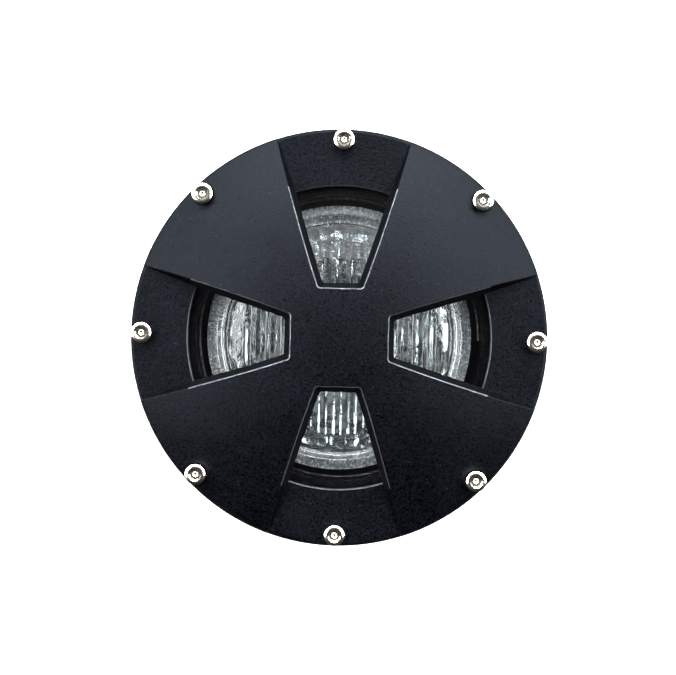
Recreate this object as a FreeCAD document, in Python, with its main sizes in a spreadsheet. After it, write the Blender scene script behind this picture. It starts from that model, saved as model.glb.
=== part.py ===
import FreeCAD, Part
import math
import os
import Sketcher

# Submersible pond light: a cast head that holds a sealed-beam lamp behind clear glass,
# carried in a bent steel yoke that turns on a round base plate.
# Z is up, the lamp faces up, X is the tilt axis and the origin is the middle of the feet.

V = FreeCAD.Vector
doc = FreeCAD.newDocument("PondLight")

SIZES = [
    # Base, millimetres
    ("foot_radius", 9, "rubber foot"),
    ("foot_height", 3, "foot below the plate"),
    ("foot_circle", 54, "radius of the circle of feet"),
    ("foot_edge", 0.6, "rounded lower edge of a foot"),
    ("base_radius", 75, "base plate"),
    ("base_thick", 6, "base plate"),
    ("base_edge", 1.2, "chamfer on the top edge of the plate"),
    ("base_hole", 3.25, "fixing hole radius"),
    ("base_hole_circle", 65, "radius of the circle of fixing holes"),
    ("swivel_radius", 4, "swivel screw thread radius"),
    ("swivel_head_radius", 7, "button head of the swivel screw"),
    ("swivel_head_high", 4.4, "button head of the swivel screw"),
    ("swivel_head_rim", 0.8, "straight rim of the button head"),
    ("swivel_crown", 3.15, "flat top of the button head, radius"),
    ("swivel_hex", 2.89, "corner radius of a 5 mm hexagon socket"),
    ("swivel_hex_deep", 2.6, "hexagon socket of the swivel screw"),
    ("swivel_short", 0.5, "how far the screw ends above the bottom of the plate"),
    ("swivel_washer_radius", 11, "friction washer under the yoke"),
    ("swivel_washer_thick", 1.5, "friction washer under the yoke"),
    # Yoke
    ("yoke_thick", 3, "strip thickness"),
    ("yoke_half_width", 12, "half the strip width"),
    ("yoke_inner", 71.2, "inner face of a leg"),
    ("yoke_bend", 7, "inside radius of the bends"),
    ("pivot_height", 110, "tilt axis above the floor"),
    ("pivot_radius", 4, "stud radius at the pivots"),
    ("running_fit", 0.08, "radial clearance of studs and the swivel screw"),
    ("gap", 0.3, "space between parts that move past each other"),
    # Head: heights are above the tilt axis
    ("face_radius", 87.5, "outside of the cover and housing flange"),
    ("hole_radius", 63.5, "opening of the cover"),
    ("flange_top", 26, "joint face of the housing"),
    ("flange_thick", 6, "housing flange"),
    ("flange_edge", 1, "rounded lower edge of the housing flange"),
    ("cover_flange", 5, "cover flange"),
    ("dome_rise", 16, "dome above the cover flange"),
    ("arm_thick", 8.5, "thickness of the grille arms"),
    ("window_inner", 20, "inner edge of a window from the axis, on the dome"),
    ("window_half", 11.1, "half width of a window at its inner edge, on the dome"),
    ("window_angle", 20.3, "angle of the window sides to its centre line, degrees"),
    ("window_draft", 15, "casting draft of the window walls, degrees"),
    ("window_corner", 1.6, "radius in the window corners"),
    ("window_over", 6, "how far a window outline runs past the rim"),
    ("hole_edge", 0.5, "chamfer round the opening of the flange"),
    ("casting_edge", 0.8, "rounded edges of the cover casting"),
    ("rim_edge", 1.5, "rounded outer rim of the cover"),
    ("screw_circle", 82.5, "radius of the circle of cover screws"),
    ("screw_shank", 2.45, "cover screw thread radius"),
    ("screw_length", 14, "cover screw under the head"),
    ("screw_head", 4.25, "cover screw head radius"),
    ("screw_head_high", 5, "cover screw head"),
    ("hex_radius", 2.31, "corner radius of a 4 mm hexagon socket"),
    ("screw_clear", 2.75, "clearance hole radius"),
    ("spot_level", 1.6, "spot face for a screw on an arm, above the flange"),
    ("spot_radius", 4.8, "spot face for a screw on an arm"),
    ("screw_boss", 4.7, "boss under the housing flange"),
    ("screw_boss_long", 6, "boss under the housing flange"),
    ("screw_boss_floor", 1.5, "metal left under the tapped hole"),
    ("thread_fit", 0.05, "radial clearance of a fixed thread"),
    ("rib_thick", 2.5, "stiffening rib between two bosses"),
    ("rib_rise", 3, "how far a rib keeps from the rim and the neck's lower edge"),
    ("root", 1, "how far ribs and bosses reach into the wall behind them"),
    ("seat_radius", 71.2, "recess for the gasket"),
    ("seat_level", 18, "floor of the gasket recess"),
    ("gasket_outer", 71, "lens gasket"),
    ("gasket_inner", 64.5, "lens gasket"),
    ("gasket_lip", 1.5, "lens gasket"),
    ("lens_radius", 69, "front glass"),
    ("lens_edge", 0.5, "ground edge of the front glass"),
    ("neck_radius", 76, "housing round the gasket recess"),
    ("neck_bottom", 14, "underside of the neck"),
    ("neck_edge", 2, "rounded lower edge of the neck"),
    ("bore_radius", 61, "inside of the housing in front of the lamp"),
    ("bowl_radius", 66, "outside of the bowl"),
    ("bowl_wall", 4, "wall of the bowl"),
    ("bowl_straight", -10, "where the bowl begins to curve in"),
    ("bowl_bottom", -66, "back of the bowl, outside"),
    ("bowl_back_radius", 34, "flat back of the bowl, outside"),
    ("lamp_ledge", 2, "ledge that the lamp ring rests on"),
    ("lamp_radius", 57.15, "rim of the lamp"),
    ("lamp_level", 4, "underside of the lamp glass rim"),
    ("lamp_rim", 4, "lamp glass rim"),
    ("lamp_edge", 1, "chamfer on the rim of the lamp glass"),
    ("lamp_field", 49, "radius of the crowned field of the lamp glass"),
    ("lamp_crown", 5, "rise of the lamp glass"),
    ("lamp_band", 50, "inner radius of the raised band round the field"),
    ("lamp_band_outer", 53, "outer radius of the raised band"),
    ("lamp_band_rise", 0.7, "raised band round the field"),
    ("lamp_band_slope", 0.5, "slope outside the raised band"),
    ("ring_reach", 4, "how far the lamp ring reaches under the lamp"),
    ("ring_lip", 1, "how far the lamp ring stands above the lamp rim"),
    ("bore_fit", 0.1, "radial clearance in the bore"),
    ("clip_radius", 0.7, "wire of the retaining ring"),
    ("clip_turn", 340, "degrees of the retaining ring, open at its ends"),
    ("reflector_rim", 52.15, "rim of the reflector, outside"),
    ("reflector_curve", 75, "curve of the reflector, outside"),
    ("lamp_wall", 2.5, "wall of the reflector"),
    ("lamp_neck", 15, "neck at the back of the reflector"),
    ("lamp_back", -36, "back of the reflector"),
    ("lamp_floor", 3.5, "floor of the reflector above its back"),
    ("neck_long", 6, "neck behind the reflector"),
    ("burner_radius", 5.5, "quartz capsule"),
    ("burner_pinch", 3, "flattened foot of the capsule, as a radius"),
    ("burner_pinch_long", 6, "flattened foot of the capsule"),
    ("burner_shoulder", 9, "where the capsule reaches its full width"),
    ("burner_dome", 20, "where the capsule begins to close"),
    ("terminal_near", 5, "inner end of a terminal from the axis"),
    ("terminal_far", 11, "outer end of a terminal from the axis"),
    ("terminal_half", 3.5, "half width of a terminal"),
    ("terminal_thick", 3, "terminal block and its screw, each"),
    ("terminal_screw", 2.5, "terminal screw radius"),
    ("block_half", 10, "half length of the terminal block"),
    ("block_near", -11, "near side of the terminal block from the axis"),
    ("block_far", -22, "far side of the terminal block from the axis"),
    ("block_high", 8, "terminal block"),
    ("block_pitch", 5, "a well of the terminal block from its middle"),
    ("block_well", 2.2, "radius of a screw well"),
    ("block_well_deep", 3, "depth of a screw well"),
    ("earth_place", 16, "earth screw from the axis"),
    ("earth_head", 4, "radius of the earth screw's head"),
    ("earth_high", 2.6, "head of the earth screw"),
    ("earth_slot", 0.5, "half width of its slot"),
    ("earth_slot_deep", 1.2, "depth of its slot"),
    ("boss_radius", 11, "pivot boss"),
    ("boss_face", 70, "face of the pivot boss from the axis"),
    ("boss_root", 3, "how far the pivot boss reaches into the bowl wall"),
    ("stud_depth", 7, "thread in the pivot boss"),
    ("stud_bottom", 0.5, "space behind the end of the stud"),
    ("stud_reach", 5, "stud outside the yoke, in the knob"),
    ("washer_radius", 10.5, "friction washer at the pivot"),
    ("washer_thick", 0.9, "friction washer at the pivot"),
    ("knob_radius", 11.5, "lock knob over its lobes"),
    ("knob_hub", 7, "hub of the lock knob"),
    ("knob_lobe", 3.2, "lobe of the lock knob"),
    ("knob_thick", 8.5, "lock knob"),
    ("knob_collar", 2, "collar of the lock knob"),
    ("knob_disc", 9.58, "disc between the lobes of the lock knob"),
    ("knob_edge", 1.2, "rounded face edge of the lock knob"),
    ("gland_level", -34, "cable entry below the tilt axis"),
    ("gland_boss", 11, "boss round the cable entry"),
    ("gland_boss_face", 66, "face of the cable entry boss from the axis"),
    ("gland_boss_long", 16, "length of the cable entry boss into the bowl"),
    ("gland_bore_long", 26, "length of the tapped hole in the boss"),
    ("gland_thread", 7.9, "thread of the gland body"),
    ("gland_thread_long", 9, "thread of the gland body in the boss"),
    ("gland_flats", 4, "hexagon of the gland body"),
    ("gland_collar", 4.5, "threaded collar in front of the hexagon"),
    ("gland_bore", 5, "bore of the gland body"),
    ("gland_cup", 6.4, "radius of the cup that holds the seal"),
    ("gland_cup_deep", 5, "cup that holds the seal"),
    ("gland_hex", 11, "corner radius of the gland hexagons"),
    ("seal_radius", 6.3, "gland seal"),
    ("seal_long", 6, "gland seal"),
    ("cable_radius", 4, "cable hole in the gland seal"),
    ("nut_start", 4.2, "back of the nut from the boss"),
    ("nut_flats", 6, "hexagon of the nut"),
    ("nut_shoulder", 9.4, "foot of the nut's dome, radius"),
    ("nut_curve", 6, "curve of the nut's dome"),
    ("nut_crown", 6.2, "top of the nut's dome, radius"),
    ("nut_dome", 3.4, "dome of the nut above its hexagon"),
    ("nut_inside", 5.4, "depth of the nut's thread"),
    ("nut_mouth", 4.6, "cable hole in the nut, radius"),
]

sheet = doc.addObject("Spreadsheet::Sheet", "Size")
for row, (alias, number, note) in enumerate(SIZES, start=1):
    sheet.set(f"A{row}", alias)
    sheet.set(f"B{row}", str(number))
    sheet.set(f"C{row}", note)
    sheet.setAlias(f"B{row}", alias)
doc.recompute()


def tangent_arc(across, along):
    """Radius of an arc that leaves a straight wall tangentially and ends so far away."""
    return f"((({across})^2 + ({along})^2) / (2 * ({across})))"


# Sizes that follow from the sheet, written as expressions.
COVER_TOP = "(Size.flange_top + Size.cover_flange)"
DOME_RADIUS = "((Size.face_radius^2 + Size.dome_rise^2) / (2 * Size.dome_rise))"
DOME_DROP = f"({DOME_RADIUS} - Size.dome_rise)"
UNDER_RADIUS = f"({DOME_RADIUS} - Size.arm_thick)"
YOKE_BOTTOM = "(Size.foot_height + Size.base_thick + Size.swivel_washer_thick)"
YOKE_TOP = f"({YOKE_BOTTOM} + Size.yoke_thick)"
YOKE_OUTER = "(Size.yoke_inner + Size.yoke_thick)"
INNER_BACK = "(Size.bowl_back_radius - Size.bowl_wall)"
OUTER_BOWL = tangent_arc("Size.bowl_radius - Size.bowl_back_radius",
                         "Size.bowl_straight - Size.bowl_bottom")
INNER_BOWL = tangent_arc(f"Size.lamp_radius - {INNER_BACK}",
                         "Size.bowl_straight - Size.bowl_bottom - Size.bowl_wall")
SEAT_DEPTH = "(Size.flange_top - Size.seat_level)"
LAMP_RING_TOP = "(Size.lamp_level + Size.lamp_rim + Size.ring_lip)"
SEAM_TURN = 60      # degrees: the seams of the revolved cover lie clear of windows and holes
RIB_TURN = 22.5     # degrees: a rib stands midway between two screw bosses
COVER_SCREWS = 8
WINDOWS = 4
KNOB_LOBES = 6
CLOSE = 0.02        # millimetres: two places nearer than this are one
PIECES = []


def value(expression):
    """The number an expression gives, from the sheet."""
    number = sheet.evalExpression(expression)
    return float(getattr(number, "Value", number))


def new_body(label, height="0"):
    """A body whose own origin stands on the axis, at a height above the floor."""
    body = doc.addObject("PartDesign::Body", label)
    body.AllowCompound = True
    body.setExpression("Placement.Base.z", height)
    PIECES.append(body)
    return body


def origin_feature(body, role):
    return next(f for f in body.Origin.OriginFeatures if f.Role == role)


def new_sketch(body, name, plane, offset="0", turn=0):
    """A sketch on one of the body's own planes, moved along the plane's normal
    and turned about its own vertical."""
    sketch = body.newObject("Sketcher::SketchObject", name)
    sketch.AttachmentSupport = [(origin_feature(body, plane), "")]
    sketch.MapMode = "FlatFace"
    sketch.AttachmentOffset.Rotation = FreeCAD.Rotation(V(0, 1, 0), turn)
    sketch.setExpression("AttachmentOffset.Base.z", offset)
    return sketch


def pin_point(sketch, geometry, end, x, y):
    """Hold a point of the sketch at sizes from the sheet."""
    for kind, size in (("DistanceX", x), ("DistanceY", y)):
        index = sketch.addConstraint(
            Sketcher.Constraint(kind, -1, 1, geometry, end, value(size)))
        if size != "0":
            sketch.setExpression(f"Constraints[{index}]", size)


def outline(body, name, plane, corners, offset="0", turn=0):
    """A closed outline. A corner is (x, y), or (x, y, radius) where an arc leaves it:
    a positive radius turns anticlockwise to the next corner, a negative one clockwise."""
    sketch = new_sketch(body, name, plane, offset, turn)
    points = [V(value(c[0]), value(c[1]), 0) for c in corners]
    for i, corner in enumerate(corners):
        start = points[i]
        end = points[(i + 1) % len(points)]
        if len(corner) == 2:
            line = sketch.addGeometry(Part.LineSegment(start, end))
            pin_point(sketch, line, 1, corner[0], corner[1])
            continue
        radius = value(corner[2])
        half = (end - start) / 2
        side = V(-half.y, half.x, 0).normalize()
        away = math.sqrt(radius * radius - half.Length ** 2)
        centre = start + half + side * math.copysign(away, radius)
        angles = [math.atan2(p.y - centre.y, p.x - centre.x) for p in (start, end)]
        if radius < 0:
            angles.reverse()
        circle = Part.Circle(centre, V(0, 0, 1), abs(radius))
        arc = sketch.addGeometry(Part.ArcOfCircle(circle, angles[0], angles[1]))
        pin_point(sketch, arc, 1 if radius > 0 else 2, corner[0], corner[1])
        index = sketch.addConstraint(Sketcher.Constraint("Radius", arc, abs(radius)))
        sketch.setExpression(f"Constraints[{index}]", f"abs({corner[2]})")
    for i, corner in enumerate(corners):
        after = (i + 1) % len(corners)
        leaves = 1 if len(corner) == 3 and value(corner[2]) < 0 else 2
        meets = 2 if len(corners[after]) == 3 and value(corners[after][2]) < 0 else 1
        sketch.addConstraint(Sketcher.Constraint("Coincident", i, leaves, after, meets))
    return sketch


def circles(body, name, plane, rounds, offset="0"):
    """Circles given as (x, y, radius)."""
    sketch = new_sketch(body, name, plane, offset)
    for x, y, radius in rounds:
        circle = Part.Circle(V(value(x), value(y), 0), V(0, 0, 1), value(radius))
        index = sketch.addGeometry(circle)
        pin_point(sketch, index, 3, x, y)
        size = sketch.addConstraint(Sketcher.Constraint("Radius", index, value(radius)))
        sketch.setExpression(f"Constraints[{size}]", radius)
    return sketch


def polygon(body, name, plane, x, y, radius, offset="0", sides=6):
    """A regular polygon by its corner radius."""
    corners = []
    for i in range(sides):
        angle = 360 * i / sides
        corners.append((f"{x} + {radius} * cos({angle})", f"{y} + {radius} * sin({angle})"))
    return outline(body, name, plane, corners, offset)


def tip_volume(body):
    return body.Tip.Shape.Volume if body.Tip else 0


def revolve(body, name, sketch):
    feature = body.newObject("PartDesign::Revolution", name)
    feature.Profile = sketch
    feature.ReferenceAxis = (sketch, ["V_Axis"])
    feature.Angle = 360
    doc.recompute()
    return feature


def pad(body, name, sketch, length, down=False):
    feature = body.newObject("PartDesign::Pad", name)
    feature.Profile = sketch
    feature.setExpression("Length", length)
    feature.Reversed = down
    doc.recompute()
    return feature


def pocket(body, name, sketch, length, up=False, draft=None):
    """A cut from the sketch, and a stop if it takes nothing away."""
    before = tip_volume(body)
    feature = body.newObject("PartDesign::Pocket", name)
    feature.Profile = sketch
    feature.setExpression("Length", length)
    feature.Reversed = up
    if draft:
        feature.setExpression("TaperAngle", draft)
    doc.recompute()
    if feature.Shape.Volume >= before - 1e-6:
        raise RuntimeError(f"{body.Label}.{name} cuts nothing")
    return feature


def polar(body, name, features, count, axis="Z_Axis"):
    feature = body.newObject("PartDesign::PolarPattern", name)
    feature.Originals = features
    feature.Axis = (origin_feature(body, axis), [""])
    feature.Angle = 360
    feature.Occurrences = count
    body.Tip = feature
    doc.recompute()
    return feature


def round_edges(body, name, radius, wanted, kind="PartDesign::Fillet"):
    """A fillet or chamfer on the edges of the tip that the test wants."""
    base = body.Tip
    names = [f"Edge{i}" for i, edge in enumerate(base.Shape.Edges, start=1) if wanted(edge)]
    if not names:
        raise RuntimeError(f"{body.Label}.{name} finds no edge")
    feature = body.newObject(kind, name)
    feature.Base = (base, names)
    feature.setExpression("Size" if kind.endswith("Chamfer") else "Radius", radius)
    doc.recompute()
    return feature


def edge_ends(edge):
    return [edge.valueAt(edge.FirstParameter), edge.valueAt(edge.LastParameter)]


def is_ring(edge, radius, z):
    """A full circle round the axis, or an arc of one."""
    points = edge_ends(edge) + [edge.valueAt((edge.FirstParameter + edge.LastParameter) / 2)]
    return all(abs(math.hypot(p.x, p.y) - radius) < CLOSE and abs(p.z - z) < CLOSE
               for p in points)


# ---- base ---------------------------------------------------------------------------

def make_base_plate():
    """Turned steel disc with a tapped centre and four fixing holes."""
    body = new_body("base_plate", "Size.foot_height")
    disc = circles(body, "disc", "XY_Plane", [("0", "0", "Size.base_radius")])
    pad(body, "plate", disc, "Size.base_thick")
    centre = circles(body, "tapped_hole", "XY_Plane", [
        ("0", "0", "Size.swivel_radius + Size.running_fit")], "Size.base_thick")
    pocket(body, "tapping", centre, "Size.base_thick")
    hole = circles(body, "fixing_hole", "XY_Plane", [
        ("Size.base_hole_circle * cos(45)", "Size.base_hole_circle * sin(45)",
         "Size.base_hole")], "Size.base_thick")
    cut = pocket(body, "fixing", hole, "Size.base_thick")
    polar(body, "fixings", [cut], 4)
    top = value("Size.base_thick")
    radius = value("Size.base_radius")
    round_edges(body, "top_edge", "Size.base_edge", lambda e: is_ring(e, radius, top),
                "PartDesign::Chamfer")


def make_base_feet():
    """Four rubber feet stuck under the plate."""
    body = new_body("base_feet")
    foot = circles(body, "foot_outline", "XY_Plane", [
        ("Size.foot_circle", "0", "Size.foot_radius")])
    block = pad(body, "foot", foot, "Size.foot_height")
    polar(body, "feet", [block], 4)
    round_edges(body, "foot_edges", "Size.foot_edge",
                lambda e: all(p.z < CLOSE for p in edge_ends(e)))


def make_swivel_washer():
    """Nylon friction washer between the plate and the yoke."""
    body = new_body("swivel_washer", "Size.foot_height + Size.base_thick")
    ring = circles(body, "ring", "XY_Plane", [
        ("0", "0", "Size.swivel_washer_radius"),
        ("0", "0", "Size.swivel_radius + Size.gap")])
    pad(body, "washer", ring, "Size.swivel_washer_thick - Size.gap")


def make_swivel_screw():
    """Button-head screw that holds the yoke to the plate and is its pivot."""
    body = new_body("swivel_screw", f"{YOKE_TOP} + Size.gap")
    reach = f"({YOKE_TOP} + Size.gap - Size.foot_height - Size.swivel_short)"
    profile = outline(body, "profile", "XZ_Plane", [
        ("0", f"-{reach}"),
        ("Size.swivel_radius", f"-{reach}"),
        ("Size.swivel_radius", "0"),
        ("Size.swivel_head_radius", "0"),
        ("Size.swivel_head_radius", "Size.swivel_head_rim", "Size.swivel_head_radius"),
        ("Size.swivel_crown", "Size.swivel_head_high"),
        ("0", "Size.swivel_head_high")])
    revolve(body, "screw", profile)
    socket = polygon(body, "socket", "XY_Plane", "0", "0", "Size.swivel_hex",
                     "Size.swivel_head_high")
    pocket(body, "hexagon", socket, "Size.swivel_hex_deep")


# ---- yoke ---------------------------------------------------------------------------

def make_yoke():
    """Flat strip bent into a U, with round leg ends and three holes."""
    body = new_body("yoke")
    outer_bend = "(Size.yoke_bend + Size.yoke_thick)"
    leg_top = "(Size.pivot_height + Size.yoke_half_width)"
    strip = outline(body, "strip", "XZ_Plane", [
        (f"-{YOKE_OUTER} + {outer_bend}", YOKE_BOTTOM),
        (f"{YOKE_OUTER} - {outer_bend}", YOKE_BOTTOM, outer_bend),
        (YOKE_OUTER, f"{YOKE_BOTTOM} + {outer_bend}"),
        (YOKE_OUTER, leg_top),
        ("Size.yoke_inner", leg_top),
        ("Size.yoke_inner", f"{YOKE_TOP} + Size.yoke_bend", "-Size.yoke_bend"),
        ("Size.yoke_inner - Size.yoke_bend", YOKE_TOP),
        ("-Size.yoke_inner + Size.yoke_bend", YOKE_TOP, "-Size.yoke_bend"),
        ("-Size.yoke_inner", f"{YOKE_TOP} + Size.yoke_bend"),
        ("-Size.yoke_inner", leg_top),
        (f"-{YOKE_OUTER}", leg_top),
        (f"-{YOKE_OUTER}", f"{YOKE_BOTTOM} + {outer_bend}", outer_bend)])
    bent = pad(body, "bent_strip", strip, "2 * Size.yoke_half_width")
    bent.Midplane = True
    doc.recompute()
    top = value(leg_top)

    def is_leg_corner(edge):
        start, end = edge_ends(edge)
        return abs(start.x - end.x) > CLOSE and min(start.z, end.z) > top - CLOSE
    round_edges(body, "leg_ends", "Size.yoke_half_width - Size.bore_fit", is_leg_corner)
    pivots = circles(body, "pivot_hole", "YZ_Plane", [
        ("0", "Size.pivot_height", "Size.pivot_radius + Size.running_fit")])
    through = pocket(body, "pivot_holes", pivots, f"2 * ({YOKE_OUTER} + Size.root)")
    through.Midplane = True
    centre = circles(body, "swivel_hole", "XY_Plane", [
        ("0", "0", "Size.swivel_radius + Size.running_fit")], YOKE_TOP)
    pocket(body, "swivel", centre, "Size.yoke_thick + Size.root")


# ---- head castings ------------------------------------------------------------------

def make_housing():
    """Deep cast bowl: flange with screw bosses, gasket recess, pivot and cable bosses."""
    body = new_body("housing", "Size.pivot_height")
    profile = outline(body, "section", "XZ_Plane", [
        ("0", "Size.bowl_bottom"),
        ("Size.bowl_back_radius", "Size.bowl_bottom", OUTER_BOWL),
        ("Size.bowl_radius", "Size.bowl_straight"),
        ("Size.bowl_radius", "Size.neck_bottom"),
        ("Size.neck_radius - Size.neck_edge", "Size.neck_bottom", "Size.neck_edge"),
        ("Size.neck_radius", "Size.neck_bottom + Size.neck_edge"),
        ("Size.neck_radius", "Size.flange_top - Size.flange_thick"),
        ("Size.face_radius", "Size.flange_top - Size.flange_thick"),
        ("Size.face_radius", "Size.flange_top"),
        ("Size.seat_radius", "Size.flange_top"),
        ("Size.seat_radius", "Size.seat_level"),
        ("Size.bore_radius", "Size.seat_level"),
        ("Size.bore_radius", "Size.lamp_ledge"),
        ("Size.lamp_radius", "Size.lamp_ledge"),
        ("Size.lamp_radius", "Size.bowl_straight", f"-{INNER_BOWL}"),
        (INNER_BACK, "Size.bowl_bottom + Size.bowl_wall"),
        ("0", "Size.bowl_bottom + Size.bowl_wall")])
    revolve(body, "bowl", profile)
    rim = value("Size.face_radius")
    under = value("Size.flange_top - Size.flange_thick")
    round_edges(body, "flange_edge", "Size.flange_edge", lambda e: is_ring(e, rim, under))
    boss = circles(body, "screw_boss_outline", "XY_Plane", [
        ("Size.screw_circle", "0", "Size.screw_boss")], "Size.flange_top - Size.flange_thick")
    boss_pad = pad(body, "screw_boss", boss, "Size.screw_boss_long", down=True)
    polar(body, "screw_bosses", [boss_pad], COVER_SCREWS)
    flange_bottom = "Size.flange_top - Size.flange_thick"
    rib = outline(body, "rib_outline", "XZ_Plane", [
        ("Size.bowl_radius - Size.root", "Size.bowl_straight"),
        ("Size.bowl_radius", "Size.bowl_straight"),
        ("Size.neck_radius", "Size.neck_bottom + Size.rib_rise"),
        ("Size.face_radius - Size.rib_rise", f"{flange_bottom} + Size.root"),
        ("Size.neck_radius - Size.root", f"{flange_bottom} + Size.root"),
        ("Size.neck_radius - Size.root", "Size.neck_bottom + Size.root"),
        ("Size.bowl_radius - Size.root", "Size.neck_bottom + Size.root")], turn=RIB_TURN)
    web = pad(body, "rib", rib, "Size.rib_thick")
    web.Midplane = True
    doc.recompute()
    polar(body, "ribs", [web], COVER_SCREWS)
    thread = circles(body, "thread_outline", "XY_Plane", [
        ("Size.screw_circle", "0", "Size.screw_shank + Size.thread_fit")], "Size.flange_top")
    tapped = pocket(body, "thread", thread,
                    "Size.screw_boss_long + Size.flange_thick - Size.screw_boss_floor")
    polar(body, "threads", [tapped], COVER_SCREWS)
    for side, plane_offset in (("right", "Size.boss_face"), ("left", "-Size.boss_face")):
        inward = side == "right"
        boss = circles(body, f"{side}_pivot_outline", "YZ_Plane", [
            ("0", "0", "Size.boss_radius")], plane_offset)
        pad(body, f"{side}_pivot_boss", boss,
            "Size.boss_face - Size.bowl_radius + Size.boss_root", down=inward)
        hole = circles(body, f"{side}_stud_outline", "YZ_Plane", [
            ("0", "0", "Size.pivot_radius + Size.running_fit")], plane_offset)
        pocket(body, f"{side}_stud_hole", hole, "Size.stud_depth + Size.stud_bottom",
               up=not inward)
    entry = circles(body, "entry_outline", "XZ_Plane", [
        ("0", "Size.gland_level", "Size.gland_boss")], "Size.gland_boss_face")
    pad(body, "entry_boss", entry, "Size.gland_boss_long", down=True)
    bore = circles(body, "entry_bore_outline", "XZ_Plane", [
        ("0", "Size.gland_level", "Size.gland_thread + Size.thread_fit")],
        "Size.gland_boss_face")
    pocket(body, "entry_bore", bore, "Size.gland_bore_long")


def make_grille_cover():
    """One casting: a dome cut by four tapered windows, on a flat clamping flange."""
    body = new_body("grille_cover", f"Size.pivot_height + {COVER_TOP}")
    profile = outline(body, "section", "XZ_Plane", [
        ("0", "Size.dome_rise - Size.arm_thick", f"-{UNDER_RADIUS}"),
        ("Size.hole_radius", f"sqrt({UNDER_RADIUS}^2 - Size.hole_radius^2) - {DOME_DROP}"),
        ("Size.hole_radius", "-Size.cover_flange"),
        ("Size.face_radius", "-Size.cover_flange"),
        ("Size.face_radius", "0", DOME_RADIUS),
        ("0", "Size.dome_rise")], turn=SEAM_TURN)
    revolve(body, "dome", profile)
    rim = value("Size.face_radius")
    round_edges(body, "rim", "Size.rim_edge", lambda e: is_ring(e, rim, 0))

    # The windows taper upwards from the underside, so their sizes on the dome come first.
    taper = "((Size.dome_rise + Size.cover_flange) * tan(Size.window_draft))"
    inner = f"(Size.window_inner + {taper})"
    half = f"(Size.window_half - {taper})"
    outer = "(Size.face_radius + Size.window_over)"
    outer_half = f"({half} + ({outer} - {inner}) * tan(Size.window_angle))"
    wedge = outline(body, "window_outline", "XY_Plane", [
        (f"-{half}", inner),
        (half, inner),
        (outer_half, outer),
        (f"-{outer_half}", outer)], "-Size.cover_flange")
    window = pocket(body, "window", wedge,
                    "Size.cover_flange + Size.dome_rise + Size.arm_thick", up=True,
                    draft="Size.window_draft")
    polar(body, "windows", [window], WINDOWS)
    corner = math.hypot(value("Size.window_inner"), value("Size.window_half"))

    def is_corner(edge):
        low, high = edge_ends(edge)
        return abs(low.z - high.z) > value("Size.arm_thick") / 2 and all(
            abs(math.hypot(p.x, p.y) - corner) < value("Size.arm_thick") / 2
            for p in (low, high))
    round_edges(body, "window_corners", "Size.window_corner", is_corner)
    dome = value(DOME_RADIUS)
    drop = value(DOME_DROP)

    def is_window_lip(edge):
        """The inner lip of a window on the dome; the rest of the lip follows by tangency."""
        points = edge_ends(edge)
        points.append(edge.valueAt((edge.FirstParameter + edge.LastParameter) / 2))
        return edge.Length > value("Size.window_inner") / 4 and all(
            abs(math.hypot(p.x, p.y, p.z + drop) - dome) < CLOSE and
            math.hypot(p.x, p.y) < corner + 1 for p in points)
    round_edges(body, "window_lips", "Size.casting_edge", is_window_lip)

    flange = outline(body, "flange_section", "XZ_Plane", [
        ("Size.hole_radius", "-Size.cover_flange"),
        ("Size.face_radius", "-Size.cover_flange"),
        ("Size.face_radius", "-Size.rim_edge", "Size.rim_edge"),
        ("Size.face_radius - Size.rim_edge", "0"),
        ("Size.hole_radius + Size.hole_edge", "0"),
        ("Size.hole_radius", "-Size.hole_edge")], turn=SEAM_TURN)
    revolve(body, "flange", flange)
    hole = circles(body, "screw_hole", "XY_Plane", [
        ("Size.screw_circle", "0", "Size.screw_clear")], "-Size.cover_flange")
    drilled = pocket(body, "drilling", hole, "Size.cover_flange + Size.dome_rise", up=True)
    polar(body, "screw_holes", [drilled], COVER_SCREWS)
    spot = circles(body, "spot_outline", "XY_Plane", [
        ("Size.screw_circle * cos(45)", "Size.screw_circle * sin(45)", "Size.spot_radius")],
        "Size.spot_level")
    seat = pocket(body, "spot_face", spot, "Size.dome_rise", up=True)
    polar(body, "spot_faces", [seat], WINDOWS)


# ---- lens, gasket and screws --------------------------------------------------------

def make_lens_gasket():
    """Silicone channel that wraps the edge of the front glass."""
    body = new_body("lens_gasket", "Size.pivot_height + Size.seat_level")
    profile = outline(body, "section", "XZ_Plane", [
        ("Size.gasket_inner", "0"),
        ("Size.gasket_outer", "0"),
        ("Size.gasket_outer", SEAT_DEPTH),
        ("Size.gasket_inner", SEAT_DEPTH),
        ("Size.gasket_inner", f"{SEAT_DEPTH} - Size.gasket_lip"),
        ("Size.lens_radius", f"{SEAT_DEPTH} - Size.gasket_lip"),
        ("Size.lens_radius", "Size.gasket_lip"),
        ("Size.gasket_inner", "Size.gasket_lip")])
    revolve(body, "channel", profile)


def make_glass_lens():
    """Flat tempered front glass with a ground edge."""
    body = new_body("glass_lens", "Size.pivot_height + Size.seat_level + Size.gasket_lip")
    disc = circles(body, "disc", "XY_Plane", [("0", "0", "Size.lens_radius")])
    pad(body, "glass", disc, f"{SEAT_DEPTH} - 2 * Size.gasket_lip")
    rim = value("Size.lens_radius")
    round_edges(body, "ground_edge", "Size.lens_edge", lambda e: any(
        is_ring(e, rim, z) for z in (0, value(f"{SEAT_DEPTH} - 2 * Size.gasket_lip"))),
        "PartDesign::Chamfer")


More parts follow.
